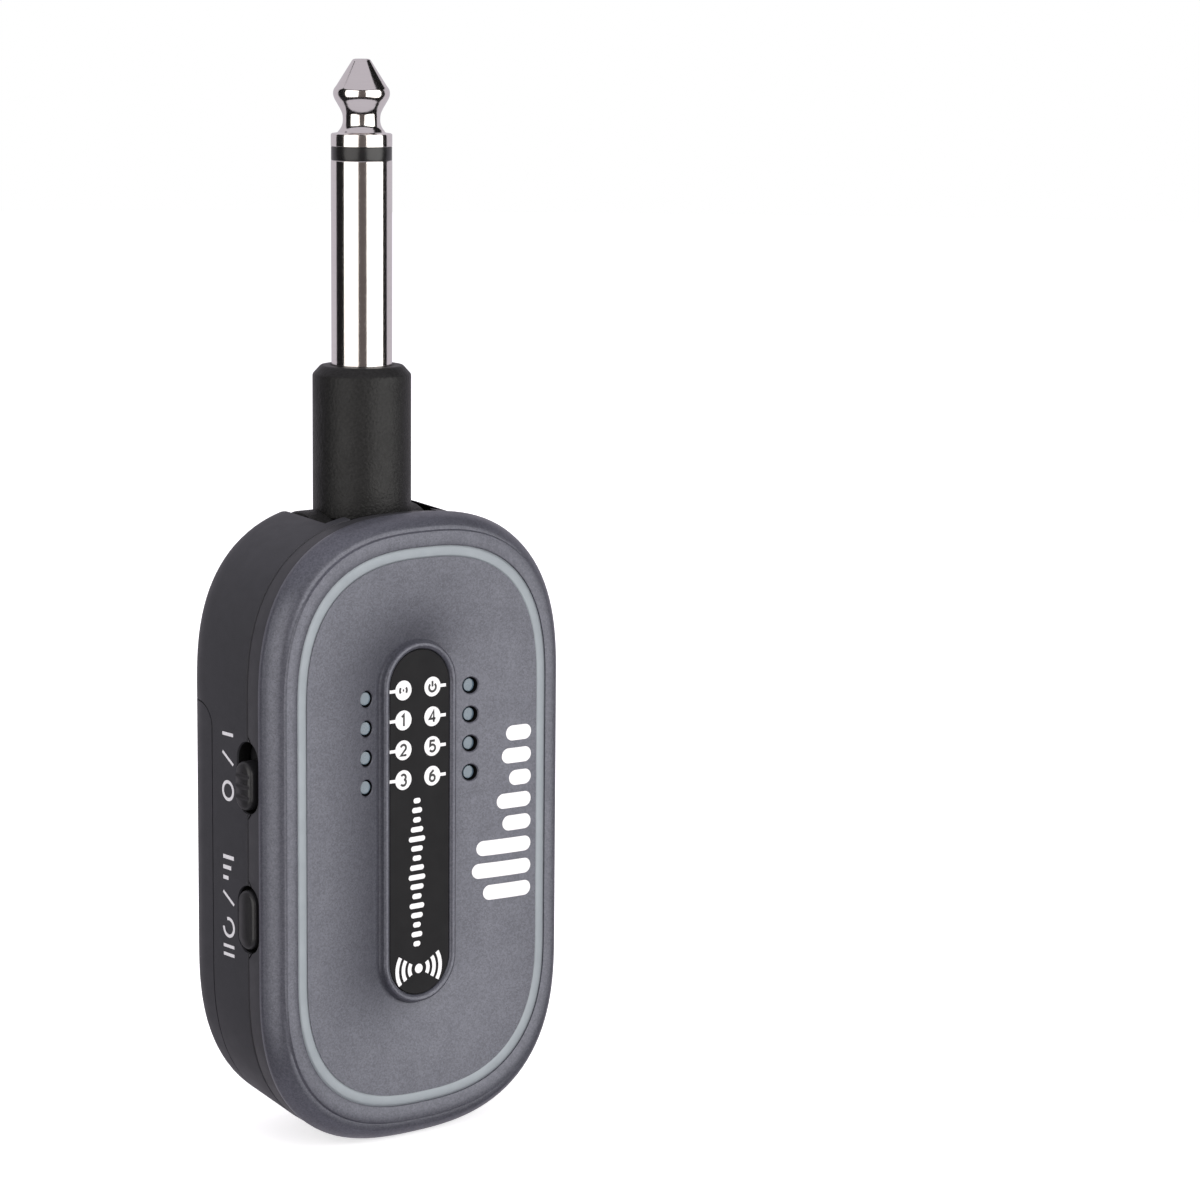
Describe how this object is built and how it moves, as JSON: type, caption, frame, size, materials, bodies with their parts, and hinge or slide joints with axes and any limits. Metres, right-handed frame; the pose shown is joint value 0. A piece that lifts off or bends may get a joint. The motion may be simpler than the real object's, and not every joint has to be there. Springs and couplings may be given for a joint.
{
  "type": "wireless guitar transmitter",
  "caption": "Hand-sized radio transmitter in a rounded flat housing with a fold-away 6.35 mm plug, a dished face, a power slider and a mode button.",
  "frame": {"origin": "centre of the collar's top face, where the plug starts", "axes": "+Z along the plug towards its tip, -Y towards the label face, +X right as seen when looking at the label face"},
  "size_m": [0.0382, 0.0173, 0.1124],
  "materials": {
    "front_paint": "fine metallic satin paint on moulded plastic",
    "trim_metal": "satin",
    "label_plastic": "satin black with white print",
    "lens": "clear, lightly frosted",
    "shell_plastic": "fine grained matte",
    "black_steel": "blackened",
    "board_resin": "solder mask",
    "led_white": "clear resin",
    "chip_resin": "moulded",
    "tin_steel": "tinned",
    "spring_metal": "plated strip",
    "cell_foil": "foil",
    "foam_tape": "foam",
    "cream_plastic": "moulded",
    "wire_red": "smooth",
    "wire_black": "smooth",
    "wire_white": "smooth",
    "wire_green": "smooth",
    "bush_brass": "turned",
    "arm_plastic": "fine textured",
    "nickel": "polished nickel",
    "insulator": "smooth",
    "control_plastic": "satin"
  },
  "bodies": {
    "housing": {"front_cover": "front_paint", "trim_ring": "trim_metal", "label_window": "label_plastic", "light_pipe_left": "lens", "light_pipe_right": "lens", "rear_shell": "shell_plastic", "rear_cover": "shell_plastic", "case_screws": "black_steel", "main_board": "board_resin", "status_leds": "led_white", "radio_chip": "chip_resin", "audio_codec": "chip_resin", "power_chip": "chip_resin", "shield_can": "tin_steel", "crystal": "tin_steel", "antenna": "spring_metal", "usb_socket": "tin_steel", "slide_switch": "tin_steel", "tact_switch": "chip_resin", "battery_cell": "cell_foil", "battery_tape": "foam_tape", "battery_socket": "cream_plastic", "battery_lead_red": "wire_red", "battery_lead_black": "wire_black", "hinge_bushes": "bush_brass", "friction_washers": "tin_steel", "lead_tails": "wire_white"},
    "arm": {"plug_arm": "arm_plastic", "plug_sleeve": "nickel", "plug_insulator": "insulator", "plug_tip": "nickel", "tip_terminal": "spring_metal", "ground_terminal": "spring_metal", "signal_lead": "wire_white", "ground_lead": "wire_green", "hinge_pin": "tin_steel", "hinge_clips": "black_steel"},
    "slider": {"power_slider": "control_plastic", "switch_lever": "control_plastic"},
    "button": {"mode_button": "control_plastic", "tact_plunger": "cream_plastic"}
  },
  "joints": [
    {"name": "plug_fold", "type": "hinge", "parent": "housing", "child": "arm", "pos_m": [0, 0.0012, -0.02], "axis": [-1, 0, 0], "range_deg": [0, 180]},
    {"name": "power_slide", "type": "slide", "parent": "housing", "child": "slider", "axis": [0, 0, 1], "range_m": [0, 0.0017]},
    {"name": "mode_press", "type": "slide", "parent": "housing", "child": "button", "axis": [1, 0, 0], "range_m": [0, 0.0004], "stiffness_N_per_m": 450, "springref_m": -0.002}
  ]
}
